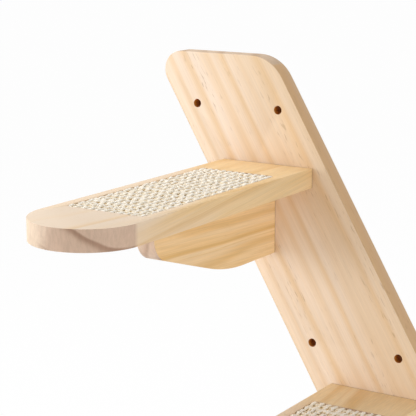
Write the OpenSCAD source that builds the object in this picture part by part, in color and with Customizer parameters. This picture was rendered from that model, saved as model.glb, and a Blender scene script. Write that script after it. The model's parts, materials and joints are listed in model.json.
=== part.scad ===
// Slanted wall board that carries cat steps: each step is a round-nosed tread on a brace,
// with a woven mat let into its top. Millimetres, +Z up, the wall is the plane Y = 0,
// and the steps stand out along -Y. The origin is the middle of the board's back face.

/* [Board] */
// Height of the board, top edge to bottom edge
board_h = 527; // [480:1:760]
// Width of the board, square to its long edges
board_w = 113; // [104:1:150]
// Thickness of the board
board_t = 18; // [15:0.5:25]
// Lean of the long edges from upright, in degrees
slant = 30.7; // [10:0.1:36]
// Radius of the two sharp corners
sharp_corner_r = 18; // [6:1:24]
// Radius of the two blunt corners
blunt_corner_r = 38; // [6:1:42]

/* [Wall screw holes] */
// Diameter of the wall screw holes
wall_hole_d = 8; // [4:0.5:10]
// Distance between the two holes of a row
wall_hole_spacing = 88; // [70:1:92]
// Height from one row of holes to the next
wall_row_rise = 215; // [205:1:225]

/* [Treads] */
// Height from one tread to the next
step_rise = 200; // [180:1:208]
// Height from the first tread's top up to the board's top edge
top_drop = 99; // [90:1:110]
// Drop from a tread's top to where its middle meets the board's centre line
centre_line_drop = 6; // [0:0.5:12]
// Width of a tread, and the diameter of its nose
tread_w = 95; // [85:1:104]
// Length of a tread from the board to the tip of its nose
tread_l = 317; // [300:1:380]
// Thickness of a tread
tread_t = 18; // [16:0.5:25]

/* [Mats] */
// Width of a mat
mat_w = 75; // [50:1:80]
// Length of a mat
mat_l = 198; // [150:1:205]
// Thickness of the woven part of a mat
mat_t = 4.3; // [3:0.1:6]
// Thickness of the backing under the weave
backing_t = 1; // [0.6:0.1:2]
// Depth of the recess that a mat lies in
recess_depth = 4.8; // [2.5:0.1:5.2]
// Distance from the board to the recess
recess_setback = 51.5; // [40:0.5:55]
// Gap round a mat in its recess
mat_gap = 0.5; // [0.3:0.1:1]
// Corner radius of the recess
recess_corner_r = 4; // [2:0.5:8]

/* [Braces] */
// Thickness of a brace
brace_t = 18; // [15:0.5:25]
// Length of a brace, out from the board
brace_l = 195; // [180:1:215]
// Height of a brace at the board
brace_h = 65.5; // [60:0.5:72]
// Height of a brace at its front end
brace_nose_h = 31; // [28:1:40]
// Length of the level part of a brace's underside
brace_foot_l = 84.5; // [70:0.5:95]
// Radius where the level part turns into the slope
brace_belly_r = 200; // [40:1:240]
// Radius of the lower front corner
brace_nose_r = 22; // [4:1:24]

/* [Screws and dowels] */
// Diameter of the screws over their thread
screw_d = 4.5; // [3.5:0.1:5]
// Core diameter of the screws
screw_core_d = 3; // [2:0.1:3.4]
// Length of the screws
screw_l = 50; // [40:1:60]
// Diameter of the countersunk heads
screw_head_d = 9; // [7:0.1:10]
// Depth of the heads below the board's back face
screw_sink = 0.5; // [0.2:0.1:1]
// Length of the thread
thread_l = 28; // [16:1:32]
// Pitch of the thread
thread_pitch = 2; // [1.5:0.1:2.5]
// Span of the cross recess in a screw head
cross_l = 4.6; // [3:0.1:5]
// Width of the cross recess
cross_w = 1; // [0.6:0.1:1.4]
// Depth of the cross recess
cross_depth = 1.8; // [1:0.1:2.2]
// Distance between the two screws of a tread
tread_screw_spacing = 62; // [56:1:68]
// Drop from a brace's top to its upper screw
brace_screw_drop = 14; // [12:1:18]
// Distance between the two screws of a brace
brace_screw_spacing = 34; // [28:1:36]
// Diameter of the dowels
dowel_d = 8; // [6:0.5:9]
// Length of the dowels
dowel_l = 30; // [24:1:36]
// Chamfer on the ends of the dowels
dowel_chamfer = 1; // [0.5:0.1:1.5]
// Length of a dowel that is in the board
dowel_in_board = 10; // [8:0.5:12]
// Length of a brace dowel that is in the tread
dowel_in_tread = 9; // [7:0.5:9.5]
// Distance between the two dowels of a tread
tread_dowel_spacing = 28; // [24:1:36]
// Distance from the board to the first brace dowel
brace_dowel_setback = 60; // [56:1:70]
// Distance between the two dowels of a brace
brace_dowel_spacing = 92; // [70:1:100]
// Clearance all round a dowel or a screw in its hole
fit_gap = 0.05; // [0.02:0.01:0.1]
// Spare depth at the end of a blind hole
end_gap = 0.5; // [0.3:0.1:0.8]

/* [Hidden] */
$fn = 64;
EPS = 1;
STEPS = 2;
WALL_ROWS = 3;
WOOD = "burlywood";
WOOD_PALE = "wheat";
lean = tan(slant);
board_half_x = board_w / 2 / cos(slant);
nose_r = tread_w / 2;
head_r = screw_head_d / 2;
thread_r = screw_d / 2;
core_r = screw_core_d / 2;
ridges = floor(thread_l / thread_pitch);
thread_start = screw_l - thread_r - ridges * thread_pitch;
recess_w = mat_w + 2 * mat_gap;
recess_l = mat_l + 2 * mat_gap;
mat_corner_r = max(0.5, recess_corner_r - mat_gap);
brace_slope_rise = brace_h - brace_nose_h;

// Places on the board

// X of the board's centre line at height z
function centre_x(z) = -lean * z;
// Height of the top of tread i, with 0 the upper one
function step_z(i) = board_h / 2 - top_drop - i * step_rise;
// X of step i
function step_x(i) = centre_x(step_z(i) - centre_line_drop);
// Height of row k of wall holes, with row 0 the top one
function wall_row_z(k) = ((WALL_ROWS - 1) / 2 - k) * wall_row_rise;
// Two places, evenly either side of zero
function pair(spacing) = [-spacing / 2, spacing / 2];

// A step's own frame: its origin is the tread's top rear edge, where it meets the board
module at_step(i) {
    translate([step_x(i), -board_t, step_z(i)]) children();
}

// Points along -Y what is drawn along +Z
module pointing_out() {
    rotate([90, 0, 0]) children();
}

// Outlines with round corners

function unit(v) = v / norm(v);
function wrap(list, i) = list[(i + len(list)) % len(list)];
function to_last(p, i) = unit(wrap(p, i - 1) - p[i]);
function to_next(p, i) = unit(wrap(p, i + 1) - p[i]);
// Half of the angle inside corner i
function half_angle(p, i) = acos(to_last(p, i) * to_next(p, i)) / 2;
// Where the round of radius r at corner i starts, ends and has its centre
function round_start(p, i, r) = p[i] + to_last(p, i) * r / tan(half_angle(p, i));
function round_end(p, i, r) = p[i] + to_next(p, i) * r / tan(half_angle(p, i));
function round_centre(p, i, r) =
    p[i] + unit(to_last(p, i) + to_next(p, i)) * r / sin(half_angle(p, i));
// A point a little way inside the line from the round's start to its end
function round_inside(p, i, r) =
    (round_start(p, i, r) + round_end(p, i, r)) / 2 + unit(to_last(p, i) + to_next(p, i)) * EPS;

// Convex outline through points p, with corner i rounded to radius radii[i]
module rounded_outline(p, radii) {
    polygon([
        for (i = [0 : len(p) - 1])
            each radii[i] > 0 ? [round_start(p, i, radii[i]), round_end(p, i, radii[i])] : [p[i]]
    ]);
    for (i = [0 : len(p) - 1])
        if (radii[i] > 0)
            intersection() {
                translate(round_centre(p, i, radii[i])) circle(r = radii[i], $fn = 128);
                polygon([
                    round_start(p, i, radii[i]),
                    p[i],
                    round_end(p, i, radii[i]),
                    round_inside(p, i, radii[i])
                ]);
            }
}

module rounded_rectangle(w, l, r) {
    rounded_outline(
        [[-w / 2, 0], [w / 2, 0], [w / 2, l], [-w / 2, l]],
        [r, r, r, r]
    );
}

// Screws and dowels

// Countersunk wood screw along +Z, with the top of its head at the origin
module screw() {
    difference() {
        rotate_extrude()
            polygon([
                [0, 0],
                [head_r, 0],
                [core_r, head_r - core_r],
                for (i = [0 : ridges - 1]) each [
                    [core_r, thread_start + i * thread_pitch],
                    [thread_r, thread_start + (i + 0.5) * thread_pitch]
                ],
                [core_r, screw_l - thread_r],
                [0, screw_l]
            ]);
        for (turn = [0, 90])
            rotate(turn)
                translate([-cross_l / 2, -cross_w / 2, -EPS])
                    cube([cross_l, cross_w, cross_depth + EPS]);
    }
}

// Hole for a screw along +Z from the board's back face, through the board and on into the wood
module screw_hole() {
    cylinder(r = thread_r + fit_gap, h = screw_sink + screw_l + end_gap);
    translate([0, 0, screw_sink])
        cylinder(r1 = head_r + fit_gap, r2 = core_r, h = head_r - core_r + fit_gap);
    translate([0, 0, -EPS])
        cylinder(r = head_r + fit_gap, h = screw_sink + EPS);
}

// Dowel along +Z with chamfered ends
module dowel() {
    r = dowel_d / 2;
    rotate_extrude()
        polygon([
            [0, 0],
            [r - dowel_chamfer, 0],
            [r, dowel_chamfer],
            [r, dowel_l - dowel_chamfer],
            [r - dowel_chamfer, dowel_l],
            [0, dowel_l]
        ]);
}

module dowel_hole() {
    translate([0, 0, -end_gap])
        cylinder(d = dowel_d + 2 * fit_gap, h = dowel_l + 2 * end_gap);
}

// Places of the fasteners, in a step's own frame

module tread_screw_places() {
    for (x = pair(tread_screw_spacing))
        translate([x, board_t, -tread_t / 2]) pointing_out() children();
}

module brace_screw_places() {
    for (k = [0, 1])
        translate([0, board_t, -tread_t - brace_screw_drop - k * brace_screw_spacing])
            pointing_out() children();
}

module tread_dowel_places() {
    for (x = pair(tread_dowel_spacing))
        translate([x, dowel_in_board, -tread_t / 2]) pointing_out() children();
}

module brace_dowel_places() {
    for (k = [0, 1])
        translate([
            0,
            -brace_dowel_setback - k * brace_dowel_spacing,
            -tread_t + dowel_in_tread - dowel_l
        ])
            children();
}

module step_holes() {
    tread_screw_places() screw_hole();
    brace_screw_places() screw_hole();
    tread_dowel_places() dowel_hole();
    brace_dowel_places() dowel_hole();
}

// Sub-parts

module board_outline() {
    top = board_h / 2;
    rounded_outline(
        [
            [centre_x(-top) - board_half_x, -top],
            [centre_x(-top) + board_half_x, -top],
            [centre_x(top) + board_half_x, top],
            [centre_x(top) - board_half_x, top]
        ],
        [blunt_corner_r, sharp_corner_r, blunt_corner_r, sharp_corner_r]
    );
}

module backboard() {
    color(WOOD_PALE)
        difference() {
            pointing_out() linear_extrude(board_t) board_outline();
            for (k = [0 : WALL_ROWS - 1])
                for (x = pair(wall_hole_spacing))
                    translate([centre_x(wall_row_z(k)) + x, EPS, wall_row_z(k)])
                        pointing_out() cylinder(d = wall_hole_d, h = board_t + 2 * EPS);
            for (i = [0 : STEPS - 1]) at_step(i) step_holes();
        }
}

module tread_outline() {
    translate([-nose_r, -tread_l + nose_r]) square([tread_w, tread_l - nose_r]);
    translate([0, -tread_l + nose_r]) circle(r = nose_r, $fn = 128);
}

// Draws a mat-shaped outline at its place in the tread, from a gap round the recess's edge
module mat_outline(w, l, r) {
    translate([0, -recess_setback - (recess_l + l) / 2]) rounded_rectangle(w, l, r);
}

module tread(i) {
    color(WOOD)
        at_step(i)
            difference() {
                translate([0, 0, -tread_t]) linear_extrude(tread_t) tread_outline();
                translate([0, 0, -recess_depth])
                    linear_extrude(recess_depth + EPS)
                        mat_outline(recess_w, recess_l, recess_corner_r);
                step_holes();
            }
}

// Side view of a brace: x is the way out from the board, y is up, and the top is at y = 0
module brace_outline() {
    rounded_outline(
        [
            [0, 0],
            [0, -brace_h],
            [brace_foot_l, -brace_h],
            [brace_l, -brace_h + brace_slope_rise],
            [brace_l, 0]
        ],
        [0, 0, brace_belly_r, brace_nose_r, 0]
    );
}

module brace(i) {
    color(WOOD)
        at_step(i)
            difference() {
                translate([brace_t / 2, 0, -tread_t])
                    rotate([90, 0, -90]) linear_extrude(brace_t) brace_outline();
                step_holes();
            }
}

module mat_backing(i) {
    color("tan")
        at_step(i)
            translate([0, 0, -recess_depth])
                linear_extrude(backing_t) mat_outline(mat_w, mat_l, mat_corner_r);
}

module sisal_mat(i) {
    color("ivory")
        at_step(i)
            translate([0, 0, -recess_depth + backing_t])
                linear_extrude(mat_t) mat_outline(mat_w, mat_l, mat_corner_r);
}

module tread_screws(i) {
    color("silver") at_step(i) tread_screw_places() translate([0, 0, screw_sink]) screw();
}

module brace_screws(i) {
    color("silver") at_step(i) brace_screw_places() translate([0, 0, screw_sink]) screw();
}

module tread_dowels(i) {
    color(WOOD_PALE) at_step(i) tread_dowel_places() dowel();
}

module brace_dowels(i) {
    color(WOOD_PALE) at_step(i) brace_dowel_places() dowel();
}

backboard();
tread(0);  // upper_tread
brace(0);  // upper_brace
mat_backing(0);  // upper_mat_backing
sisal_mat(0);  // upper_sisal_mat
tread_screws(0);  // upper_tread_screws
brace_screws(0);  // upper_brace_screws
tread_dowels(0);  // upper_tread_dowels
brace_dowels(0);  // upper_brace_dowels
tread(1);  // lower_tread
brace(1);  // lower_brace
mat_backing(1);  // lower_mat_backing
sisal_mat(1);  // lower_sisal_mat
tread_screws(1);  // lower_tread_screws
brace_screws(1);  // lower_brace_screws
tread_dowels(1);  // lower_tread_dowels
brace_dowels(1);  // lower_brace_dowels
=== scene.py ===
import json
import math

import bmesh
import bpy
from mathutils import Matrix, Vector


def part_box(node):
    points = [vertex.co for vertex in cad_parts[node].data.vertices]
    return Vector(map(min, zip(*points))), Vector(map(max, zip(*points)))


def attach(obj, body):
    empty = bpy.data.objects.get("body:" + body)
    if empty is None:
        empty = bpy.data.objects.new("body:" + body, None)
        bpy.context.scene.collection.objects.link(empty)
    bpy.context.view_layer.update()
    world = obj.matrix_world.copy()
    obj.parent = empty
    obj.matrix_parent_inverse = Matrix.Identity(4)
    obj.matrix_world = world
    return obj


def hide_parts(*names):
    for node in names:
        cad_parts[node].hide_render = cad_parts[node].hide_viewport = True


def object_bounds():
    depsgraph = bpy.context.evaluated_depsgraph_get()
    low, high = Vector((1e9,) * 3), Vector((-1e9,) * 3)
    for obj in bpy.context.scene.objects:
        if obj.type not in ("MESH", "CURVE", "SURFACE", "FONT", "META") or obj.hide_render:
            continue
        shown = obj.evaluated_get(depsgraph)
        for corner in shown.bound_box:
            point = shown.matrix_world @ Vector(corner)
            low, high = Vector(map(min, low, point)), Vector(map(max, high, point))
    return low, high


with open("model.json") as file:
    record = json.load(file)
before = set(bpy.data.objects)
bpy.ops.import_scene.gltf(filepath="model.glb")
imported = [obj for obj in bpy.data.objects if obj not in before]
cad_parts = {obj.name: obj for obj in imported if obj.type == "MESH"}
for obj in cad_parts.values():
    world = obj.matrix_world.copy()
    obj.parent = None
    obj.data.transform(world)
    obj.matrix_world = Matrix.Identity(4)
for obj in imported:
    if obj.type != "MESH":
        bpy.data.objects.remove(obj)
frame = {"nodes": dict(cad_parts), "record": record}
nodes = frame["nodes"]
levels = ("upper", "lower")
cadLow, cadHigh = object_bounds()
scene = bpy.context.scene
print("frame:", len(nodes), "nodes")


# small helpers for node trees

def put(tree, socket, value):  # a link where value is a socket, or else a plain value
    if isinstance(value, bpy.types.NodeSocket):
        tree.links.new(value, socket)
    else:
        socket.default_value = value


def addNode(tree, kind, values=None, **settings):
    node = tree.nodes.new(kind)
    for key, value in settings.items():
        setattr(node, key, value)
    for key, value in (values or {}).items():
        put(tree, node.inputs[key], value)
    return node


def calc(tree, operation, *values):
    node = addNode(tree, "ShaderNodeMath", operation=operation)
    for socket, value in zip(node.inputs, values):
        put(tree, socket, value)
    return node.outputs[0]


def vectorCalc(tree, operation, *values):
    node = addNode(tree, "ShaderNodeVectorMath", operation=operation)
    for socket, value in zip(node.inputs, values):
        put(tree, socket, value)
    return node.outputs["Value" if operation in ("LENGTH", "DOT_PRODUCT") else "Vector"]


def axisOf(tree, vector, axis):
    return addNode(tree, "ShaderNodeSeparateXYZ", {"Vector": vector}).outputs[axis]


def vectorOf(tree, **parts):
    return addNode(tree, "ShaderNodeCombineXYZ", parts).outputs[0]


def rise(tree, value, low, high, start=0.0, end=1.0):  # smooth step from low to high
    node = addNode(tree, "ShaderNodeMapRange", interpolation_type="SMOOTHSTEP")
    for socket, v in zip(node.inputs, (value, low, high, start, end)):
        put(tree, socket, v)
    return node.outputs[0]


def noise(tree, place, stretch, detail=2.0, roughness=0.5):
    scaled = vectorCalc(tree, "MULTIPLY", place, stretch)
    node = addNode(tree, "ShaderNodeTexNoise", {
        "Vector": scaled, "Scale": 1.0, "Detail": detail, "Roughness": roughness})
    return node.outputs[0]


def blendColour(tree, share, first, second, mode="MIX"):
    node = addNode(tree, "ShaderNodeMix", data_type="RGBA", blend_type=mode)
    put(tree, node.inputs[0], share)
    put(tree, node.inputs[6], first if isinstance(first, bpy.types.NodeSocket) else (*first, 1.0))
    put(tree, node.inputs[7], second if isinstance(second, bpy.types.NodeSocket) else (*second, 1.0))
    return node.outputs[2]


def shadeBy(tree, colour, grey):  # lighter and darker by one value
    shade = addNode(tree, "ShaderNodeCombineColor", {"Red": grey, "Green": grey, "Blue": grey})
    return blendColour(tree, 1.0, colour, shade.outputs[0], "MULTIPLY")


def objectPlace(tree):
    return addNode(tree, "ShaderNodeTexCoord").outputs["Object"]


def roughen(tree, shader, height, strength, distance):
    bump = addNode(tree, "ShaderNodeBump", {"Strength": strength, "Distance": distance, "Height": height})
    put(tree, shader["Normal"], bump.outputs[0])


def newGroup(name, kind, inputs, outputs):  # an input says its default number or its kind of socket
    tree = bpy.data.node_groups.new(name, kind)
    for label, value in inputs.items():
        socketKind = value if isinstance(value, str) else {int: "Int", float: "Float"}[type(value)]
        socket = tree.interface.new_socket(label, in_out="INPUT", socket_type="NodeSocket" + socketKind)
        if socketKind != value:
            socket.default_value = value
    for label, socketKind in outputs.items():
        tree.interface.new_socket(label, in_out="OUTPUT", socket_type="NodeSocket" + socketKind)
    return tree, tree.nodes.new("NodeGroupInput").outputs, tree.nodes.new("NodeGroupOutput").inputs


def newMaterial(name):
    material = bpy.data.materials.new(name)
    material.use_nodes = True
    tree = material.node_tree
    return material, tree, tree.nodes["Principled BSDF"].inputs


# camera, from a fit of the board, treads and holes to the photograph

cameraSettings = {
    "place": (0.5608, -1.1252, 0.3962),
    "tilt": 77.972,
    "turn": 33.054,
    "lens": 122.035,
    "sensor": 36.0,
    "clip": (0.05, 60.0),
}


def makeCamera(s):
    data = bpy.data.cameras.new("camera")
    data.lens = s["lens"]
    data.sensor_width = s["sensor"]
    data.clip_start, data.clip_end = s["clip"]
    camera = bpy.data.objects.new("camera", data)
    camera.location = s["place"]
    camera.rotation_euler = (math.radians(s["tilt"]), 0.0, math.radians(s["turn"]))
    scene.collection.objects.link(camera)
    scene.camera = camera


makeCamera(cameraSettings)
print("camera set")


# pine: growth rings round a pith, so that faces, edges and ends all agree

ringSettings = {
    "sways": (  # stretch, detail and share of each noise that bends the rings
        ((11.0, 11.0, 3.2), 2.0, 3.0),
        ((70.0, 70.0, 7.0), 2.0, 0.35),
        ((36.0, 36.0, 0.7), 1.0, 2.4),  # wide and narrow years
    ),
    "crest": 0.01,  # between the end of the rise and the start of the fall
    "faintestYear": 0.35,
    "bands": 3.0,  # fainter bands within a year
    "bandFrom": 0.2,
    "bandLead": 0.07,
    "bandPatch": {"stretch": (25.0, 25.0, 4.0), "detail": 1.0, "range": (0.35, 0.65)},
    "tone": {"stretch": (40.0, 40.0, 1.9), "detail": 4.0, "roughness": 0.68, "range": (0.3, 0.7)},
    "fibre": {"stretch": (900.0, 900.0, 16.0), "detail": 3.0, "roughness": 0.6},
    "dash": {"stretch": (680.0, 680.0, 95.0), "detail": 1.0, "range": (0.60, 0.76)},
    "crowd": {"stretch": (42.0, 42.0, 6.0), "detail": 2.0, "range": (0.40, 0.72)},
    "endFacing": (0.34, 0.43),
}


def spots(tree, place, s):  # a noise, as a smooth step where a range is given
    grain = noise(tree, place, s["stretch"], s["detail"], s.get("roughness", 0.5))
    return rise(tree, grain, *s["range"]) if "range" in s else grain


def makeRingsGroup(s):
    tree, given, out = newGroup(
        "pineRings", "ShaderNodeTree",
        {"Place": "Vector", "Ring Width": 0.009, "Wander": 0.006, "Fleck Amount": 0.5,
         "Late From": 0.1, "Fall From": 0.93, "Fine": 0.3},
        {"Late": "Float", "Tone": "Float", "Fibre": "Float", "Fleck": "Float", "Ring": "Float"})
    place = given["Place"]
    fallFrom = given["Fall From"]

    def band(part, start, fall, height):  # darkens slowly and ends sooner
        swell = calc(tree, "POWER", rise(tree, part, start, calc(tree, "SUBTRACT", fall, s["crest"])), 2.0)
        return calc(tree, "MULTIPLY", swell, rise(tree, part, fall, 1.0, height, 0.0))

    sway = 0.0
    for stretch, detail, share in s["sways"]:
        bend = calc(tree, "SUBTRACT", noise(tree, place, stretch, detail), 0.5)
        sway = calc(tree, "ADD", sway, calc(tree, "MULTIPLY", bend, share))
    radius = vectorCalc(tree, "LENGTH", vectorCalc(tree, "MULTIPLY", place, (1.0, 1.0, 0.0)))
    swayed = calc(tree, "ADD", radius, calc(tree, "MULTIPLY", sway, given["Wander"]))
    phase = calc(tree, "DIVIDE", swayed, given["Ring Width"])
    year = calc(tree, "FLOOR", phase)
    chance = addNode(tree, "ShaderNodeTexWhiteNoise", {"W": year}, noise_dimensions="1D").outputs["Value"]
    late = band(calc(tree, "FRACT", phase), given["Late From"], fallFrom, 1.0)
    late = calc(tree, "MULTIPLY", late, rise(tree, chance, 0.0, 1.0, s["faintestYear"], 1.0))
    season = calc(tree, "FRACT", calc(tree, "MULTIPLY", phase, s["bands"]))
    faint = band(season, s["bandFrom"], calc(tree, "SUBTRACT", fallFrom, s["bandLead"]), given["Fine"])
    faint = calc(tree, "MULTIPLY", faint, spots(tree, place, s["bandPatch"]))
    flecks = calc(tree, "MULTIPLY", spots(tree, place, s["dash"]), spots(tree, place, s["crowd"]))
    put(tree, out["Ring"], late)
    put(tree, out["Late"], calc(tree, "MAXIMUM", late, faint))
    put(tree, out["Tone"], spots(tree, place, s["tone"]))
    put(tree, out["Fibre"], spots(tree, place, s["fibre"]))
    put(tree, out["Fleck"], calc(tree, "MULTIPLY", flecks, given["Fleck Amount"]))
    return tree


def makeEndGroup(s):  # 1 where the saw cut across the grain
    tree, given, out = newGroup("endFace", "ShaderNodeTree", {"Axis": "Vector"}, {"End": "Float"})
    normal = addNode(tree, "ShaderNodeTexCoord").outputs["Normal"]
    facing = calc(tree, "ABSOLUTE", vectorCalc(tree, "DOT_PRODUCT", normal, given["Axis"]))
    put(tree, out["End"], rise(tree, facing, *s["endFacing"]))
    return tree


ringsGroup = makeRingsGroup(ringSettings)
endGroup = makeEndGroup(ringSettings)

pineColours = {
    "early": (0.865, 0.70, 0.55),
    "late": (0.73, 0.475, 0.255),
    "warm": (0.83, 0.60, 0.37),
    "fleck": (0.40, 0.24, 0.12),
    "pale": (0.80, 0.645, 0.492),
    "sapEnd": (0.82, 0.645, 0.48),
    # glue and painted shade along the joints with the board
    "glueAndShade": (0.30, 0.19, 0.09),
    "endEarly": (0.605, 0.43, 0.315),
    "endLate": (0.37, 0.225, 0.15),
}

pineFinish = {
    "streakRange": (0.35, 0.7),
    "streakDark": 0.07,
    "streakLight": 0.04,
    "sawMarks": {"stretch": (420.0, 420.0, 110.0), "detail": 4.0, "roughness": 0.75,
                 "range": (0.3, 0.7, 0.92, 1.06)},  # and pores
    "glueAndShadeLine": (-0.0011, -0.0003, 0.0, 0.8),  # glue and painted shade, by distance from the board's face
    "gloss": (0.3, 0.7, 0.5, 0.68),
    "specular": 0.3,
    "lateRelief": 0.6,
    "bump": (0.25, 0.0004),
}

sapwood = {  # across is measured from the tread's middle
    "waver": 0.09,
    "lateHolds": 0.5,
    "rightSide": (0.046, 0.028, 0.8, 1.0),
    "leftRim": (-0.022, -0.038),
    "rimAlong": (-0.05, -0.11, 0.0, 0.75),
    "endWaver": 0.006,
    "endSide": (0.005, -0.0125, 0.0, 0.85),
}


def sapMasks(tree, w, coords, tone, late):  # paler sapwood on the faces, and on the end grain
    along = axisOf(tree, coords, "Y")
    across = calc(tree, "SUBTRACT", axisOf(tree, coords, "X"), w["middle"])
    wavering = calc(tree, "ADD", along, calc(tree, "MULTIPLY", tone, sapwood["waver"]))
    early = calc(tree, "SUBTRACT", 1.0, calc(tree, "MULTIPLY", late, sapwood["lateHolds"]))
    pale = calc(tree, "MULTIPLY", rise(tree, wavering, w["paleFrom"], w["paleFull"]), early)
    pale = calc(tree, "MULTIPLY", pale, rise(tree, across, *sapwood["rightSide"]))
    rim = calc(tree, "MULTIPLY", rise(tree, across, *sapwood["leftRim"]),
               rise(tree, along, *sapwood["rimAlong"]))
    shifted = calc(tree, "ADD", across, calc(tree, "MULTIPLY", tone, sapwood["endWaver"]))
    return calc(tree, "MAXIMUM", pale, rim), rise(tree, shifted, *sapwood["endSide"])


def makePine(name, w):
    s = pineFinish
    colours = {**pineColours, **w["colours"]}
    material, tree, shader = newMaterial(name)
    coords = objectPlace(tree)
    turned = addNode(tree, "ShaderNodeMapping", {
        "Vector": coords, "Location": w["pith"], "Rotation": [math.radians(a) for a in w["turn"]]})
    rings = addNode(tree, "ShaderNodeGroup", {
        "Place": turned.outputs[0], "Ring Width": w["ringWidth"], "Wander": w["wander"],
        "Fleck Amount": w["flecks"], "Late From": w.get("lateFrom", 0.1),
        "Fall From": w.get("fallFrom", 0.93), "Fine": w.get("fine", 0.0)}, node_tree=ringsGroup).outputs
    late, tone, fibre = rings["Late"], rings["Tone"], rings["Fibre"]
    endMask = addNode(tree, "ShaderNodeGroup", {"Axis": w["endAxis"]}, node_tree=endGroup).outputs[0]

    colour = blendColour(tree, calc(tree, "MULTIPLY", tone, w["warmth"]), colours["early"], colours["warm"])
    if "heartShadeSide" in w:  # towards the heart of the trunk, with painted shade: darker and warmer towards the board's right side
        inward = vectorCalc(tree, "DOT_PRODUCT", coords, w["sawnAxis"])
        colour = blendColour(tree, rise(tree, inward, *w["heartShadeSide"]), colour, colours["heartShade"])
    colour = blendColour(tree, calc(tree, "MULTIPLY", late, w["lateStrength"]), colour, colours["late"])
    streaks = w.get("streaks", 1.0)
    colour = shadeBy(tree, colour, rise(tree, fibre, *s["streakRange"], 1.0 - s["streakDark"] * streaks,
                                        1.0 + s["streakLight"] * streaks))
    colour = blendColour(tree, rings["Fleck"], colour, colours["fleck"])
    endRing = late if w.get("fineEnd") else rings["Ring"]
    endColour = blendColour(tree, endRing, colours["endEarly"], colours["endLate"])
    if "paleFrom" in w:
        pale, sap = sapMasks(tree, w, coords, tone, late)
        colour = blendColour(tree, pale, colour, colours["pale"])
        endColour = blendColour(tree, sap, endColour, colours["sapEnd"])
    endColour = shadeBy(tree, endColour, spots(tree, coords, s["sawMarks"]))
    colour = blendColour(tree, endMask, colour, endColour)
    if "sawnAxis" in w:  # planed edges are duller than the face, with painted shade on the board's sides
        sawn = addNode(tree, "ShaderNodeGroup", {"Axis": w["sawnAxis"]}, node_tree=endGroup).outputs[0]
        dulledAndShaded = calc(tree, "MULTIPLY", sawn, w["sawnDullAndShade"])
        colour = blendColour(tree, dulledAndShaded, colour, w["sawnShadeColour"], "MULTIPLY")
    if "joint" in w:  # glue and painted shade in the joint with the board
        before = calc(tree, "SUBTRACT", axisOf(tree, coords, "Y"), w["joint"])
        colour = blendColour(tree, rise(tree, before, *s["glueAndShadeLine"]), colour, colours["glueAndShade"])

    put(tree, shader["Base Color"], colour)
    put(tree, shader["Roughness"], rise(tree, fibre, *s["gloss"]))
    shader["Specular IOR Level"].default_value = s["specular"]
    height = calc(tree, "ADD", fibre, calc(tree, "MULTIPLY", late, s["lateRelief"]))
    roughen(tree, shader, height, *s["bump"])
    return material


def makeSpeckled(name, s):  # one noise for the colour, the gloss and the bumps
    material, tree, shader = newMaterial(name)
    grain = spots(tree, objectPlace(tree), s)
    put(tree, shader["Base Color"], blendColour(tree, grain, s["dark"], s["light"]))
    put(tree, shader["Roughness"], rise(tree, grain, *s["gloss"]))
    shader["Metallic"].default_value = s.get("metallic", 0.0)
    if "bump" in s:
        roughen(tree, shader, grain, *s["bump"])
    return material


# wooden pieces: the CAD solids with their arrises eased

wallHoles = [mount for mount in frame["record"]["mounts"] if mount["kind"] == "bolt_pattern"]
lean = math.atan2(-wallHoles[0]["pos_m"][0], wallHoles[0]["pos_m"][2])  # of the board, from its top row
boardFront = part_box("backboard")[0].y

woodEdges = {
    "segments": 3,
    "sharpAngle": 25.0,
    "smoothAngle": 30.0,
    "flatAngle": 0.5,
    "merge": 1e-6,
    "fine": 0.25,  # share of the rounding round holes and in the recess
    "joint": 0.5,  # and where pieces meet
    "holeMargin": 0.002,
    "fastenerMargin": 0.001,
    "through": 0.1,  # a fastener's zone goes right through the board
    "recessMargin": 0.0015,
    "jointDepth": 0.0005,
}

boardSettings = {
    "ease": 0.0012,
    "wood": {
        "endAxis": (-math.sin(lean), 0.0, math.cos(lean)), "turn": (0.5, math.degrees(lean), 0.4),
        "pith": (0.272, 0.10, 0.1), "ringWidth": 0.0165, "wander": 0.006, "flecks": 0.55, "warmth": 0.5,
        "lateStrength": 0.7, "fallFrom": 0.72, "fine": 0.12, "streaks": 0.6,
        # darker and warmer towards the right side: heartwood tone and painted shade
        "heartShadeSide": (-0.03, 0.06, 0.0, 0.5),
        # the board's sides: duller planed wood with painted shade
        "sawnAxis": (math.cos(lean), 0.0, math.sin(lean)), "sawnDullAndShade": 0.85, "sawnShadeColour": (0.79, 0.65, 0.48),
        "colours": {"early": (0.862, 0.705, 0.572), "late": (0.75, 0.51, 0.275), "heartShade": (0.74, 0.54, 0.33),
                    "endEarly": (0.76, 0.655, 0.57), "endLate": (0.60, 0.47, 0.37)},
    },
    "holeShade": {  # painted shade on the rough walls inside the drilled holes
        "stretch": (700.0, 1600.0, 700.0), "detail": 2.0, "gloss": (0.3, 0.7, 0.75, 0.95),
        "bump": (0.5, 0.0004), "dark": (0.276, 0.099, 0.0072), "light": (0.644, 0.231, 0.0168),
    },
    "holeWall": 0.5,  # its faces turn less than this to the front or back
}


def middleOf(node):
    low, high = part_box(node)
    return (low + high) / 2


treadColours = {"early": (0.86, 0.635, 0.37), "warm": (0.75, 0.49, 0.215), "late": (0.70, 0.43, 0.17)}
treadWood = {"endAxis": (0.33, -0.944, 0.0), "warmth": 0.7, "joint": boardFront}

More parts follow.
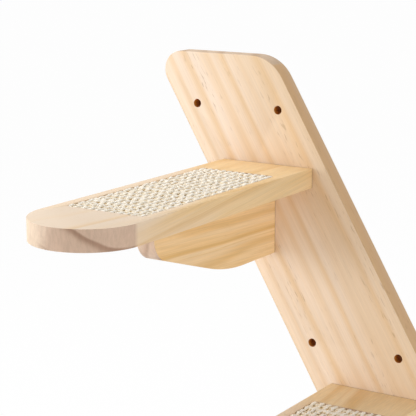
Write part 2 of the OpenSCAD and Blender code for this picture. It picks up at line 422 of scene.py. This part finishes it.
treadSettings = {
    "ease": 0.0013,
    "wood": {
        "upper": {
            **treadWood, "turn": (84.0, 0.0, 0.0), "pith": (0.1691, 0.0419, 0.0), "ringWidth": 0.026,
            "lateFrom": 0.62, "wander": 0.003, "flecks": 0.1, "lateStrength": 0.62, "fine": 0.32,
            "paleFrom": -0.11, "paleFull": -0.25, "middle": middleOf("upper_tread").x,
            "colours": treadColours,
        },
        "lower": {
            **treadWood, "turn": (86.0, 2.0, 0.0), "pith": (-0.05, -0.12, 0.0), "ringWidth": 0.014,
            "lateFrom": 0.3, "fallFrom": 0.8, "wander": 0.004, "flecks": 0.15, "lateStrength": 0.65,
            "fine": 0.5, "paleFrom": -0.14, "paleFull": -0.30, "middle": middleOf("lower_tread").x,
            "colours": {**treadColours, "early": (0.86, 0.67, 0.43), "warm": (0.75, 0.525, 0.26)},
        },
    },
}

braceWood = {
    "endAxis": (0.0, 1.0, 0.0), "lateFrom": 0.15, "fallFrom": 0.72, "flecks": 0.15, "warmth": 1.0,
    "lateStrength": 0.75, "fine": 0.45, "fineEnd": True, "joint": boardFront,
    "colours": {"early": (0.88, 0.67, 0.43), "warm": (0.84, 0.58, 0.29), "late": (0.69, 0.42, 0.145),
                "endEarly": (0.66, 0.49, 0.37), "endLate": (0.45, 0.29, 0.20)},
}

braceSettings = {
    "ease": 0.0012,
    "wood": {
        "upper": {**braceWood, "turn": (93.0, 0.0, 0.0), "pith": (0.123, 0.185, 0.0),
                  "ringWidth": 0.0135, "wander": 0.012},
        "lower": {**braceWood, "turn": (91.0, 1.0, 0.0), "pith": (0.02, -0.06, 0.0),
                  "ringWidth": 0.0125, "wander": 0.010},
    },
}


def plainMesh(maker, name):  # what the modifiers make, as an object of its own
    deps = bpy.context.evaluated_depsgraph_get()
    mesh = bpy.data.meshes.new_from_object(
        maker.evaluated_get(deps), preserve_all_data_layers=True, depsgraph=deps)
    mesh.name = name
    piece = bpy.data.objects.new(name, mesh)
    scene.collection.objects.link(piece)
    bpy.data.objects.remove(maker)
    return piece


def inZone(point, low, high):
    return all(low[i] <= point[i] <= high[i] for i in range(3))


def easedCopy(node, name, ease, zones):  # edges inside a zone keep only its share of the rounding
    s = woodEdges
    mesh = bpy.data.meshes.new(name + "Maker")
    bm = bmesh.new()
    bm.from_mesh(nodes[node].data)
    bmesh.ops.remove_doubles(bm, verts=bm.verts, dist=s["merge"])
    bmesh.ops.dissolve_limit(bm, angle_limit=math.radians(s["flatAngle"]), verts=bm.verts, edges=bm.edges)
    weight = bm.edges.layers.float.new("bevel_weight_edge")
    for edge in bm.edges:
        if len(edge.link_faces) == 2 and edge.calc_face_angle() > math.radians(s["sharpAngle"]):
            middle = (edge.verts[0].co + edge.verts[1].co) / 2
            shares = [share for low, high, share in zones if inZone(middle, low, high)]
            edge[weight] = min(shares, default=1.0)
    bm.to_mesh(mesh)
    bm.free()
    maker = bpy.data.objects.new(name + "Maker", mesh)
    scene.collection.objects.link(maker)
    bevel = maker.modifiers.new("ease", "BEVEL")
    bevel.limit_method, bevel.width, bevel.segments = "WEIGHT", ease, s["segments"]
    bevel.use_clamp_overlap = True
    piece = plainMesh(maker, name)
    piece.data.shade_smooth()
    piece.data.set_sharp_from_angle(angle=math.radians(s["smoothAngle"]))
    return piece


def finishPiece(piece, node, material):
    piece.data.materials.clear()
    piece.data.materials.append(material)
    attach(piece, "root")
    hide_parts(node)


def grown(node, margin, through=0.0):  # a zone round a node, longer by through along the screws
    low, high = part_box(node)
    by = Vector((margin, margin + through, margin))
    return low - by, high + by, woodEdges["fine"]


def findHoles():  # zones of the wall holes, and of the board's own screws and dowels
    zones = []
    for mount in wallHoles:
        reach = mount["dims"]["hole_r_mm"] / 1000 + woodEdges["holeMargin"]
        by = Vector((reach, 1.0, reach))
        for side in (-0.5, 0.5):
            centre = Vector(mount["pos_m"])
            centre.x += side * mount["dims"]["spacing_x_mm"] / 1000
            zones.append((centre - by, centre + by, woodEdges["fine"]))
    for level in levels:
        for part in ("_tread_screws", "_brace_screws", "_tread_dowels"):
            zones.append(grown(level + part, woodEdges["fastenerMargin"], woodEdges["through"]))
    return zones


def makeBoard(s):
    holes = findHoles()
    board = easedCopy("backboard", "slantedBoard", s["ease"], holes)
    finishPiece(board, "backboard", makePine("boardPine", s["wood"]))
    # the hole walls take a darker material: painted shade inside the holes
    board.data.materials.append(makeSpeckled("holeShadePine", s["holeShade"]))
    for face in board.data.polygons:
        inHole = any(inZone(face.center, low, high) for low, high, share in holes)
        if inHole and abs(face.normal.y) < s["holeWall"]:
            face.material_index = 1


def makeStep(level):
    s = woodEdges
    depth = s["jointDepth"]
    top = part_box(level + "_brace")[1].z
    rear = (Vector((-1, boardFront - depth, -1)), Vector((1, boardFront + depth, 1)), s["joint"])
    under = (Vector((-1, -1, top - depth)), Vector((1, 1, top + depth)), s["joint"])
    recess = grown(level + "_sisal_mat", s["recessMargin"])
    dowels = grown(level + "_brace_dowels", s["fastenerMargin"])
    zones = [recess, rear, dowels]
    tread = easedCopy(level + "_tread", level + "RoundNosedTread", treadSettings["ease"], zones)
    treadPine = makePine(level + "TreadPine", treadSettings["wood"][level])
    finishPiece(tread, level + "_tread", treadPine)
    zones = [under, rear, dowels]
    brace = easedCopy(level + "_brace", level + "CurvedBrace", braceSettings["ease"], zones)
    bracePine = makePine(level + "BracePine", braceSettings["wood"][level])
    finishPiece(brace, level + "_brace", bracePine)


makeBoard(boardSettings)
for level in levels:
    makeStep(level)
print("wooden pieces eased")


# sisal: raised cords over wefts, with a finer binder between the cords

weaveSettings = {
    "flat": (0.075, 0.198),
    "overrun": 0.0004,  # of the strands at each end
    "cords": 11,
    "cordPitch": 0.0070,
    "wefts": 31,
    "weftPitch": 0.0063,
    "cord": {"width": 0.0036, "thickness": 0.0026, "wave": 0.0009, "loop": 1.0, "drift": 1.6,
             "twist": 1050.0},  # radians per metre
    "binder": {"width": 0.0026, "thickness": 0.0017, "wave": 0.0002, "loop": 0.0, "drift": 0.0, "twist": 0.0},
    "weft": {"width": 0.0046, "thickness": 0.0018, "wave": -0.0005, "loop": 0.0, "drift": 0.0, "twist": 0.0},
    "step": 0.0011,
    "sides": 8,
    "seed": 4,
    "strandShift": 0.37,  # between the noises of two strands
    "wobble": 150.0,
    "jitter": (0.0034, 0.0, 0.0013),
    "plateau": 1.3,  # flattens the tops of the plain wave
    "tuck": (0.0, 0.004, -0.0001, 0.0),
    "twistShift": 0.01,
}


def storeFloat(tree, geometry, label, value):
    return addNode(tree, "GeometryNodeStoreNamedAttribute", {
        "Geometry": geometry, "Name": label, "Value": value}, data_type="FLOAT", domain="POINT").outputs[0]


def makeStrandGroup(s):  # strands along Y, waving over and under a crossing set
    tree, given, out = newGroup(
        "sisalStrands", "GeometryNodeTree",
        {"Count": 11, "Pitch": 0.007, "Length": 0.2, "Crossings": 30, "Crossing Pitch": 0.0065,
         "Alternate": 0.0, "Wave": 0.001, "Loop": 0.0, "Drift": 0.0, "Width": 0.0026,
         "Thickness": 0.0021, "Twist": 900.0, "Step": 0.0012, "Seed": 0},
        {"Strands": "Geometry"})

    def halfLess(count):
        return calc(tree, "MULTIPLY", calc(tree, "SUBTRACT", count, 1.0), 0.5)

    def position():
        return addNode(tree, "GeometryNodeInputPosition").outputs[0]

    index = addNode(tree, "GeometryNodeInputIndex").outputs[0]
    across = calc(tree, "MULTIPLY", calc(tree, "SUBTRACT", index, halfLess(given["Count"])), given["Pitch"])
    starts = addNode(tree, "GeometryNodePoints", {
        "Count": given["Count"], "Position": vectorOf(tree, X=across)})
    half = calc(tree, "MULTIPLY", given["Length"], 0.5)
    line = addNode(tree, "GeometryNodeCurvePrimitiveLine", {
        "Start": vectorOf(tree, Y=calc(tree, "MULTIPLY", half, -1.0)), "End": vectorOf(tree, Y=half)})
    cut = addNode(tree, "GeometryNodeResampleCurve", {
        "Curve": line.outputs[0], "Length": given["Step"]}, mode="LENGTH")
    laid = addNode(tree, "GeometryNodeInstanceOnPoints", {
        "Points": starts.outputs[0], "Instance": cut.outputs[0]})
    loose = addNode(tree, "GeometryNodeRealizeInstances", {"Geometry": laid.outputs[0]}).outputs[0]

    strand = addNode(tree, "GeometryNodeCurveOfPoint").outputs["Curve Index"]
    place = position()
    along = axisOf(tree, place, "Y")
    crossing = calc(tree, "ADD", calc(tree, "DIVIDE", along, given["Crossing Pitch"]),
                    halfLess(given["Crossings"]))
    ownSeed = calc(tree, "ADD", calc(tree, "MULTIPLY", strand, s["strandShift"]), given["Seed"])
    wobble = addNode(tree, "ShaderNodeTexNoise", {
        "Vector": vectorCalc(tree, "ADD", place, vectorOf(tree, Z=ownSeed)),
        "Scale": s["wobble"], "Detail": 1.0}).outputs["Color"]
    unevenness = vectorCalc(tree, "SUBTRACT", wobble, (0.5, 0.5, 0.5))
    drift = axisOf(tree, unevenness, "Y")
    turn = calc(tree, "ADD", crossing, calc(tree, "MULTIPLY", strand, given["Alternate"]))
    turn = calc(tree, "ADD", turn, calc(tree, "MULTIPLY", drift, given["Drift"]))
    lift = calc(tree, "MULTIPLY", calc(tree, "COSINE", calc(tree, "MULTIPLY", turn, math.pi)), s["plateau"])
    lift = calc(tree, "MINIMUM", calc(tree, "MAXIMUM", lift, -1.0), 1.0)
    hump = calc(tree, "ABSOLUTE", calc(tree, "COSINE", calc(tree, "MULTIPLY", turn, math.pi / 2)))
    hump = calc(tree, "SUBTRACT", calc(tree, "MULTIPLY", hump, 2.0), 1.0)  # looped pile
    lift = calc(tree, "ADD", lift, calc(tree, "MULTIPLY", calc(tree, "SUBTRACT", hump, lift), given["Loop"]))
    edge = calc(tree, "SUBTRACT", half, calc(tree, "ABSOLUTE", along))
    tuck = rise(tree, edge, *s["tuck"])  # the cut ends lie lower
    height = calc(tree, "ADD", calc(tree, "MULTIPLY", lift, given["Wave"]), tuck)
    jitter = vectorCalc(tree, "MULTIPLY", unevenness, s["jitter"])
    woven = addNode(tree, "GeometryNodeSetPosition", {
        "Geometry": loose, "Offset": vectorCalc(tree, "ADD", jitter, vectorOf(tree, Z=height))}).outputs[0]

    chance = addNode(tree, "FunctionNodeRandomValue", {
        "ID": strand, "Seed": given["Seed"]}, data_type="FLOAT")
    tone = chance.outputs[1]
    length = addNode(tree, "GeometryNodeSplineParameter").outputs["Length"]
    started = calc(tree, "ADD", length, calc(tree, "MULTIPLY", tone, s["twistShift"]))
    tilt = calc(tree, "MULTIPLY", started, given["Twist"])
    woven = storeFloat(tree, woven, "along", length)
    woven = storeFloat(tree, woven, "tone", tone)

    circle = addNode(tree, "GeometryNodeCurvePrimitiveCircle", {"Resolution": s["sides"], "Radius": 1.0})
    flat = vectorOf(tree, X=calc(tree, "MULTIPLY", given["Width"], 0.5),
                    Y=calc(tree, "MULTIPLY", given["Thickness"], 0.5), Z=0.0)
    profile = addNode(tree, "GeometryNodeSetPosition", {
        "Geometry": circle.outputs[0], "Position": vectorCalc(tree, "MULTIPLY", position(), flat)}).outputs[0]
    around = addNode(tree, "GeometryNodeSplineParameter").outputs["Factor"]
    profile = storeFloat(tree, profile, "around", around)
    tilted = addNode(tree, "GeometryNodeSetCurveTilt", {"Curve": woven, "Tilt": tilt}).outputs[0]
    tube = addNode(tree, "GeometryNodeCurveToMesh", {
        "Curve": tilted, "Profile Curve": profile, "Fill Caps": True}).outputs[0]
    put(tree, out["Strands"], storeFloat(tree, tube, "level", axisOf(tree, position(), "Z")))
    return tree


def makeWeaveTree(s, strandGroup):
    tree, given, out = newGroup(
        "sisalWeave", "GeometryNodeTree",
        {"Geometry": "Geometry", "Centre": "Vector", "Width": 0.075, "Length": 0.198, "Seed": 0,
         "Material": "Material"},
        {"Geometry": "Geometry"})
    joined = addNode(tree, "GeometryNodeJoinGeometry")
    for way, count, pitch, crossings, crossingPitch in (
            ("cord", s["cords"], s["cordPitch"], s["wefts"], s["weftPitch"]),
            ("binder", s["cords"] - 1, s["cordPitch"], s["wefts"], s["weftPitch"]),
            ("weft", s["wefts"], s["weftPitch"], s["cords"] * 2 - 1, s["cordPitch"] / 2)):
        isWeft = way == "weft"
        form = {key.title(): value for key, value in s[way].items()}
        strands = addNode(tree, "GeometryNodeGroup", {
            "Count": count, "Pitch": pitch, "Length": given["Width" if isWeft else "Length"],
            "Crossings": crossings, "Crossing Pitch": crossingPitch, "Alternate": 1.0 if isWeft else 0.0,
            **form, "Step": s["step"], "Seed": given["Seed"]}, node_tree=strandGroup)
        turned = addNode(tree, "GeometryNodeTransform", {
            "Geometry": strands.outputs[0], "Translation": given["Centre"],
            "Rotation": (0.0, 0.0, math.pi / 2 if isWeft else 0.0)})
        tree.links.new(turned.outputs[0], joined.inputs[0])
    whole = addNode(tree, "GeometryNodeRealizeInstances", {"Geometry": joined.outputs[0]})
    smooth = addNode(tree, "GeometryNodeSetShadeSmooth", {"Geometry": whole.outputs[0]})
    coloured = addNode(tree, "GeometryNodeSetMaterial", {
        "Geometry": smooth.outputs[0], "Material": given["Material"]})
    put(tree, out["Geometry"], coloured.outputs[0])
    return tree


sisalLook = {
    "fibre": {"stretch": (6.0, 6.0, 130.0), "detail": 3.0, "roughness": 0.7},
    "fibreRange": (0.32, 0.6),
    "fibreColours": ((0.95, 0.85, 0.66), (0.995, 0.95, 0.88)),
    "patch": {"stretch": (0.3, 0.3, 60.0), "detail": 2.0, "range": (0.5, 0.75)},
    "patchColour": (0.86, 0.74, 0.48),
    "strandColour": (0.99, 0.93, 0.85),
    "strength": 0.45,  # of the patches and of the paler strands
    "strandShift": 9.0,
    "dustAndShade": (0.0, 0.0015, 0.9, 0.0),  # dust and painted shade, darker lower in the weave, by height
    "dustAndShadeColour": (0.83, 0.61, 0.28),
    "gloss": (0.3, 0.7, 0.95, 0.75),
    "specular": 0.25,
    "bump": (0.35, 0.0003),
}


def makeSisal(name, s):
    material, tree, shader = newMaterial(name)
    along, around, tone, level = (
        addNode(tree, "ShaderNodeAttribute", attribute_name=label).outputs["Fac"]
        for label in ("along", "around", "tone", "level"))
    angle = calc(tree, "MULTIPLY", around, 2 * math.pi)
    place = vectorOf(tree, X=calc(tree, "COSINE", angle), Y=calc(tree, "SINE", angle),
                     Z=calc(tree, "ADD", along, calc(tree, "MULTIPLY", tone, s["strandShift"])))
    fibre = spots(tree, place, s["fibre"])
    patch = spots(tree, place, s["patch"])
    colour = blendColour(tree, rise(tree, fibre, *s["fibreRange"]), *s["fibreColours"])
    colour = blendColour(tree, calc(tree, "MULTIPLY", patch, s["strength"]), colour, s["patchColour"])
    colour = blendColour(tree, calc(tree, "MULTIPLY", tone, s["strength"]), colour, s["strandColour"])
    # dust and painted shade, deeper in the weave
    colour = blendColour(tree, rise(tree, level, *s["dustAndShade"]), colour, s["dustAndShadeColour"])
    put(tree, shader["Base Color"], colour)
    put(tree, shader["Roughness"], rise(tree, fibre, *s["gloss"]))
    shader["Specular IOR Level"].default_value = s["specular"]
    roughen(tree, shader, fibre, *s["bump"])
    return material


backingSettings = {
    "ease": 0.0003,
    "latex": {"stretch": (260.0, 260.0, 260.0), "detail": 3.0, "roughness": 0.6,
              "gloss": (0.3, 0.7, 0.7, 0.95), "bump": (0.6, 0.0005),
              "dark": (0.30, 0.19, 0.07), "light": (0.48, 0.32, 0.13)},
}

sisal = makeSisal("sisalCord", sisalLook)
latex = makeSpeckled("latexBacking", backingSettings["latex"])
weaveTree = makeWeaveTree(weaveSettings, makeStrandGroup(weaveSettings))


def weaveMat(level, seed):
    low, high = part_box(level + "_sisal_mat")
    extra = 2 * weaveSettings["overrun"]
    maker = bpy.data.objects.new(level + "WeaveMaker", bpy.data.meshes.new(level + "WeaveMaker"))
    scene.collection.objects.link(maker)
    modifier = maker.modifiers.new("weave", "NODES")
    modifier.node_group = weaveTree
    items = weaveTree.interface.items_tree
    sockets = {item.name: item.identifier for item in items if item.in_out == "INPUT"}
    for key, value in (("Centre", (low + high) / 2), ("Width", high.x - low.x + extra),
                       ("Length", high.y - low.y + extra), ("Seed", seed), ("Material", sisal)):
        modifier[sockets[key]] = value
    mat = plainMesh(maker, level + "WovenSisal")
    print(level, "mat:", len(mat.data.polygons), "faces")
    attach(mat, "root")
    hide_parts(level + "_sisal_mat")
    return mat


for number, level in enumerate(levels):
    weave = weaveMat(level, weaveSettings["seed"] + number)
    backing = easedCopy(level + "_mat_backing", level + "LatexBacking", backingSettings["ease"], [])
    finishPiece(backing, level + "_mat_backing", latex)
print("mats woven")


# screws and dowels keep their CAD shapes

fastenerSettings = {
    "steel": {"stretch": (900.0, 900.0, 900.0), "detail": 3.0, "gloss": (0.3, 0.7, 0.25, 0.5),
              "metallic": 1.0, "dark": (0.55, 0.54, 0.50), "light": (0.72, 0.71, 0.68)},
    "beech": {"endAxis": (0.0, 1.0, 0.0), "turn": (90.0, 0.0, 0.0), "pith": (0.02, 0.05, 0.0),
              "ringWidth": 0.003, "wander": 0.001, "flecks": 0.3, "warmth": 0.4, "lateStrength": 0.3,
              "colours": {"early": (0.80, 0.62, 0.42), "warm": (0.74, 0.54, 0.34),
                          "late": (0.62, 0.42, 0.25)}},
}

steel = makeSpeckled("zincSteel", fastenerSettings["steel"])
beech = makePine("beechDowel", fastenerSettings["beech"])
for level in levels:
    for part, material in (("_tread_screws", steel), ("_brace_screws", steel),
                           ("_tread_dowels", beech), ("_brace_dowels", beech)):
        mesh = nodes[level + part].data
        mesh.materials.clear()
        mesh.materials.append(material)
print("fasteners finished")


# white studio

lightSettings = {
    "world": 0.52,
    "lamps": {
        "key": {"place": (-1.38, -1.05, 0.27), "aim": (0.0, -0.1, 0.0), "size": 1.1, "power": 13.6},
        "fill": {"place": (2.0, -0.9, 0.15), "aim": (0.0, -0.1, 0.0), "size": 1.2, "power": 15.6},
        "top": {"place": (-0.8, -0.10, 1.15), "aim": (-0.1, -0.2, 0.1), "size": 0.8, "power": 8.3},
    },
    "floor": 0.93,
    "floorGlow": 0.97,
    "floorReach": 30.0,
    "floorGap": 0.0005,
}

white = (1.0, 1.0, 1.0, 1.0)


def makeLamp(name, s):
    lamp = bpy.data.lights.new(name, "AREA")
    lamp.shape, lamp.size, lamp.energy = "DISK", s["size"], s["power"]
    holder = bpy.data.objects.new(name, lamp)
    holder.location = s["place"]
    holder.rotation_euler = (Vector(s["place"]) - Vector(s["aim"])).to_track_quat("Z", "Y").to_euler()
    scene.collection.objects.link(holder)


def seenRays(tree):  # 1 for rays that show what they meet, and 0 for those that only bring light
    path = addNode(tree, "ShaderNodeLightPath").outputs
    mirrored = calc(tree, "MAXIMUM", path["Is Glossy Ray"], path["Is Transmission Ray"])
    return calc(tree, "MAXIMUM", path["Is Camera Ray"], mirrored)


def makeWorld(s):
    world = bpy.data.worlds.new("studio")
    scene.world = world
    world.use_nodes = True
    tree = world.node_tree
    background = tree.nodes["Background"].inputs
    background["Color"].default_value = white
    put(tree, background["Strength"], rise(tree, seenRays(tree), 0.0, 1.0, s["world"], 1.0))


def makeFloorMaterial(s):
    material = bpy.data.materials.new("whiteFloor")
    material.use_nodes = True
    tree = material.node_tree
    tree.nodes.clear()
    matte = addNode(tree, "ShaderNodeBsdfDiffuse", {"Color": (s["floor"], s["floor"], s["floor"], 1.0)})
    glow = addNode(tree, "ShaderNodeEmission", {"Color": white, "Strength": 1.0})
    shown = calc(tree, "MULTIPLY", seenRays(tree), s["floorGlow"])
    mix = addNode(tree, "ShaderNodeMixShader", {"Fac": shown})
    tree.links.new(matte.outputs[0], mix.inputs[1])
    tree.links.new(glow.outputs[0], mix.inputs[2])
    below = addNode(tree, "ShaderNodeNewGeometry").outputs["Backfacing"]
    clear = addNode(tree, "ShaderNodeMixShader", {"Fac": below})  # clear from below
    tree.links.new(mix.outputs[0], clear.inputs[1])
    tree.links.new(addNode(tree, "ShaderNodeBsdfTransparent").outputs[0], clear.inputs[2])
    tree.links.new(clear.outputs[0], addNode(tree, "ShaderNodeOutputMaterial").inputs["Surface"])
    return material


def makeFloor(s):
    reach = s["floorReach"]
    height = cadLow.z - s["floorGap"]
    signs = ((-1, -1), (1, -1), (1, 1), (-1, 1))
    corners = [(x * reach, y * reach, height) for x, y in signs]
    mesh = bpy.data.meshes.new("floor")
    mesh.from_pydata(corners, [], [(0, 1, 2, 3)])
    mesh.materials.append(makeFloorMaterial(s))
    floor = bpy.data.objects.new("floor", mesh)
    scene.collection.objects.link(floor)


makeWorld(lightSettings)
for name, lampSettings in lightSettings["lamps"].items():
    makeLamp(name, lampSettings)
makeFloor(lightSettings)
scene.view_settings.view_transform = "Standard"
print("studio lit")
